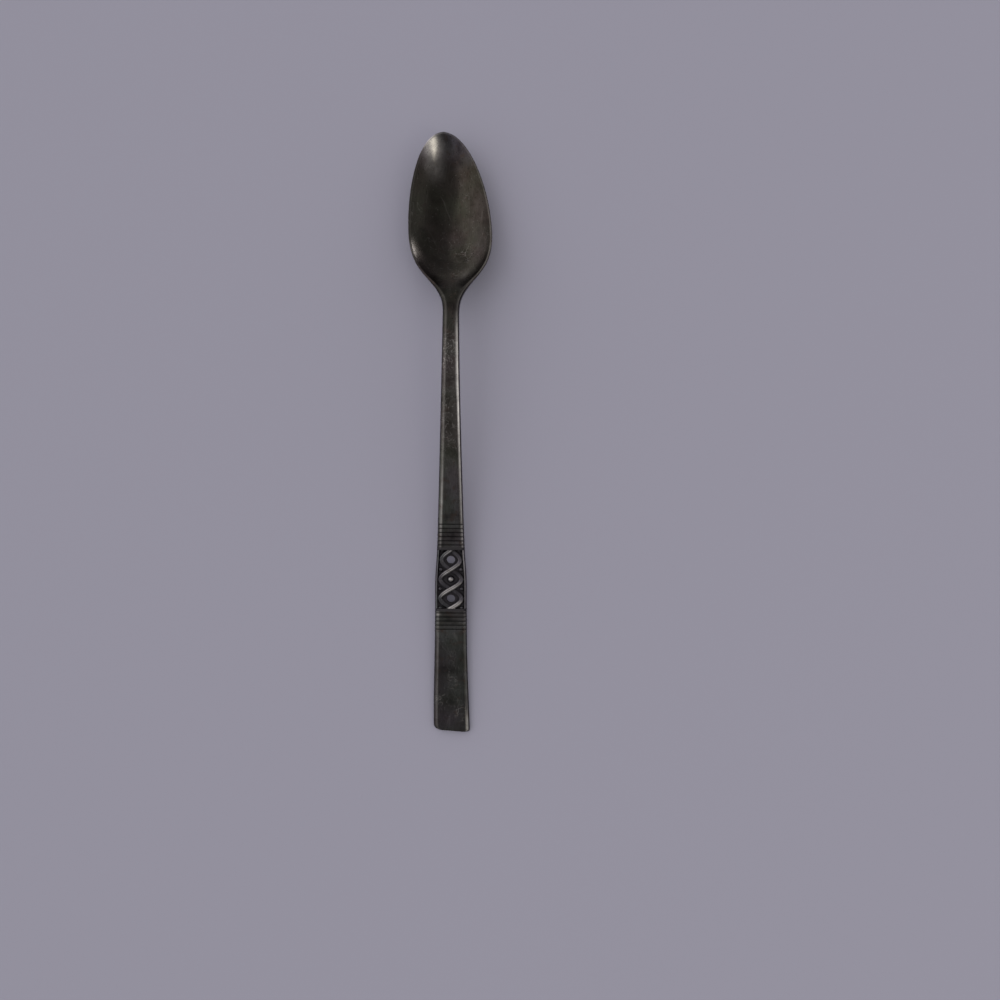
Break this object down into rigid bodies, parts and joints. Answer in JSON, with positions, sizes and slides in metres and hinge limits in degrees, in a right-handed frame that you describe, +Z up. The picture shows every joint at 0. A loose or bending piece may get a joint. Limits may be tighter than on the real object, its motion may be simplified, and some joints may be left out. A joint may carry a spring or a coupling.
{
  "type": "long-handled teaspoon",
  "caption": "Long-handled teaspoon in tarnished silver plate: egg-shaped bowl, slim bevelled stem, reeded collars on both sides of a pierced ornamental panel, and a plain flat end.",
  "frame": {"origin": "on the table, under the middle of the spoon's box, with the spoon lying face up", "axes": "+Y along the spoon towards the tip of the bowl, +X to the right seen from above, +Z up out of the bowl"},
  "size_m": [0.0262, 0.1882, 0.0141],
  "materials": {
    "silver_plate": "old silver plate, satin from use, with a dark mottled tarnish and fine scratches",
    "oxidised_silver": "silver plate blackened in its recesses and rubbed bright on the high edges"
  },
  "bodies": {
    "root": {"bowl": "silver_plate", "stem": "silver_plate", "upper_reeded_collar": "silver_plate", "pierced_panel": "oxidised_silver", "lower_reeded_collar": "silver_plate", "handle_end": "silver_plate"}
  },
  "joints": []
}
